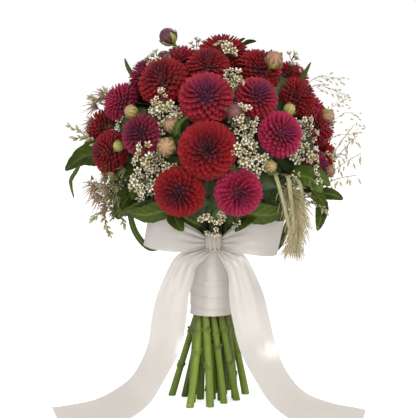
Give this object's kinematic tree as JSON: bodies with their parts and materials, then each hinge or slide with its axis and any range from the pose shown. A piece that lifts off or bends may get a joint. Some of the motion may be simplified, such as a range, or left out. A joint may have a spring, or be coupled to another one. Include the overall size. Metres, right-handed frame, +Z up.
{
  "type": "dahlia bouquet",
  "caption": "Hand-tied dome of ball dahlias, buds, wax flowers and grasses on a spiral of bound stems, with a satin ribbon bow; it stands on its level cut stem ends.",
  "frame": {"origin": "centre of the middle stem's level cut end, on the surface the bouquet stands on", "axes": "+Z up along the bundle of stems, -Y toward the side with the bow, +X to the right seen from the bow's side"},
  "size_m": [0.3834, 0.3394, 0.4629],
  "materials": {
    "dahlia_red": "velvety petal, deep red, darker between the whorls",
    "dahlia_crimson": "velvety petal, dark crimson",
    "dahlia_plum": "velvety petal, plum with a bluish heart",
    "dahlia_magenta": "velvety petal, magenta",
    "green_stem": "smooth fresh stem, yellow-green to dark green, pale at the cut",
    "wax_flower": "waxy cream petals on thin green stalks",
    "leaf": "soft leaf, veined, slightly glossy",
    "dry_grass": "dry papery grass",
    "satin_ribbon": "smooth satin with a soft sheen",
    "binding_tape": "waxed crepe tape"
  },
  "bodies": {
    "root": {"bloom_01": "dahlia_red", "bloom_02": "dahlia_crimson", "bloom_03": "dahlia_plum", "bloom_04": "dahlia_red", "bloom_05": "dahlia_red", "bloom_06": "dahlia_crimson", "bloom_07": "dahlia_red", "bloom_08": "dahlia_crimson", "bloom_09": "dahlia_crimson", "bloom_10": "dahlia_red", "bloom_11": "dahlia_red", "bloom_12": "dahlia_magenta", "bloom_13": "dahlia_crimson", "bloom_14": "dahlia_red", "bloom_15": "dahlia_plum", "bloom_16": "dahlia_crimson", "bloom_17": "dahlia_crimson", "bloom_18": "dahlia_magenta", "bloom_19": "dahlia_red", "bloom_20": "dahlia_red", "bloom_21": "dahlia_red", "bloom_22": "dahlia_plum", "bloom_23": "dahlia_magenta", "bloom_24": "dahlia_red", "bloom_25": "dahlia_crimson", "bloom_26": "dahlia_red", "bloom_27": "dahlia_magenta", "bloom_28": "dahlia_red", "bloom_29": "dahlia_plum", "bloom_30": "dahlia_red", "bloom_31": "dahlia_crimson", "bloom_32": "dahlia_magenta", "bloom_33": "dahlia_crimson", "bloom_34": "dahlia_red", "bloom_35": "dahlia_plum", "stem_middle": "green_stem", "stems_right": "green_stem", "stems_back": "green_stem", "stems_front": "green_stem", "binding_tape": "binding_tape", "ribbon_winding": "satin_ribbon", "bow_knot": "satin_ribbon", "bow_loop_left": "satin_ribbon", "bow_loop_right": "satin_ribbon", "bow_tail_left": "satin_ribbon", "bow_tail_right": "satin_ribbon", "wax_spray_front": "wax_flower", "wax_spray_left": "wax_flower", "wax_spray_right": "wax_flower", "wax_spray_low_left": "wax_flower", "wax_spray_back": "wax_flower", "leaf_left": "leaf", "foliage_low_left": "leaf", "foliage_low_right": "leaf", "leaf_sprig_right": "leaf", "long_blade_left": "leaf", "long_blade_right": "leaf", "buff_plume": "dry_grass", "oat_spray": "dry_grass"}
  },
  "joints": []
}
